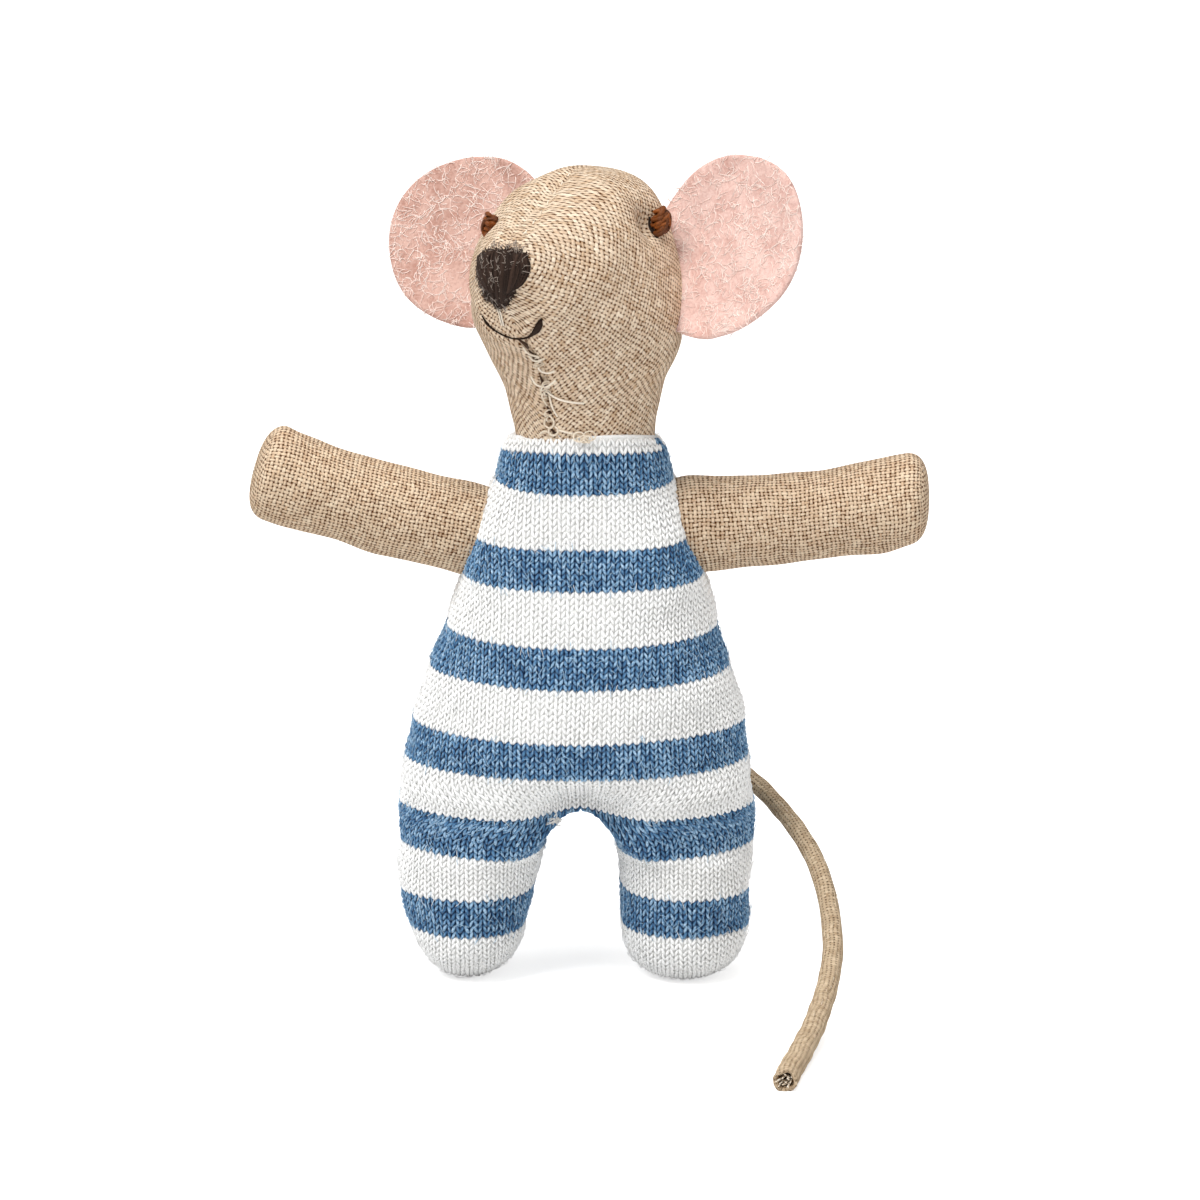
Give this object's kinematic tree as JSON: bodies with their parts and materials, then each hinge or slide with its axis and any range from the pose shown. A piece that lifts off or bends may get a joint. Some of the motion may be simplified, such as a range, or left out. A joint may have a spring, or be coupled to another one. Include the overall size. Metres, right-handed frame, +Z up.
{
  "type": "plush toy mouse",
  "caption": "Small standing stuffed mouse with a linen head, arms and tail, round felt ears and a striped knit suit.",
  "frame": {"origin": "on the floor, under the middle of the object's box without its tail", "axes": "+Z up from the feet to the ears, -Y the way the belly faces, +X the viewer's right"},
  "size_m": [0.0722, 0.0662, 0.09],
  "materials": {
    "linen": "plain-weave linen, dry and matt",
    "knit": "striped cotton knit, soft and matt",
    "felt": "pressed wool felt",
    "brown_thread": "glossy embroidery thread",
    "dark_thread": "woolly satin stitch",
    "pale_thread": "raw linen sewing thread",
    "fibre": "loose polyester filling"
  },
  "bodies": {
    "torso": {"suit_body_front": "knit", "suit_body_back": "knit", "body_filling": "fibre", "neck_knot": "pale_thread", "crotch_knot": "pale_thread", "tail": "linen"},
    "head": {"head_cover_left": "linen", "head_cover_right": "linen", "head_filling": "fibre", "eye_left": "brown_thread", "eye_right": "brown_thread", "nose": "dark_thread", "mouth_thread": "dark_thread", "chin_seam_thread": "pale_thread"},
    "ear_left": {"ear_left": "felt"},
    "ear_right": {"ear_right": "felt"},
    "arm_left": {"arm_cover_left": "linen", "arm_filling_left": "fibre"},
    "arm_right": {"arm_cover_right": "linen", "arm_filling_right": "fibre"},
    "leg_left": {"leg_front_left": "knit", "leg_back_left": "knit", "leg_filling_left": "fibre"},
    "leg_right": {"leg_front_right": "knit", "leg_back_right": "knit", "leg_filling_right": "fibre"}
  },
  "joints": [
    {"name": "head_turn", "type": "hinge", "parent": "torso", "child": "head", "pos_m": [-0.0005, 0.0013, 0.058], "axis": [0, 0, 1], "range_deg": [-40, 40], "stiffness_Nm_per_rad": 0.01},
    {"name": "ear_left_fold", "type": "hinge", "parent": "head", "child": "ear_left", "pos_m": [-0.00803, 0.00944, 0.07821], "axis": [-0.1904, -0.3737, -0.9078], "range_deg": [-15, 15], "stiffness_Nm_per_rad": 0.0005},
    {"name": "ear_right_fold", "type": "hinge", "parent": "head", "child": "ear_right", "pos_m": [0.01025, 0.00043, 0.08079], "axis": [0.1856, 0.3642, 0.9126], "range_deg": [-15, 15], "stiffness_Nm_per_rad": 0.0005},
    {"name": "arm_left_swing", "type": "hinge", "parent": "torso", "child": "arm_left", "pos_m": [-0.0141, 0.0013, 0.0493], "axis": [0, 1, 0], "range_deg": [-30, 30], "stiffness_Nm_per_rad": 0.005},
    {"name": "arm_right_swing", "type": "hinge", "parent": "torso", "child": "arm_right", "pos_m": [0.0123, 0.0013, 0.0493], "axis": [0, -1, 0], "range_deg": [-30, 30], "stiffness_Nm_per_rad": 0.005},
    {"name": "leg_left_swing", "type": "hinge", "parent": "torso", "child": "leg_left", "pos_m": [-0.0129, 0.0017, 0.0182], "axis": [-1, 0, 0], "range_deg": [-15, 30], "stiffness_Nm_per_rad": 0.03},
    {"name": "leg_right_swing", "type": "hinge", "parent": "torso", "child": "leg_right", "pos_m": [0.0103, 0.0017, 0.0182], "axis": [-1, 0, 0], "range_deg": [-15, 30], "stiffness_Nm_per_rad": 0.03}
  ]
}
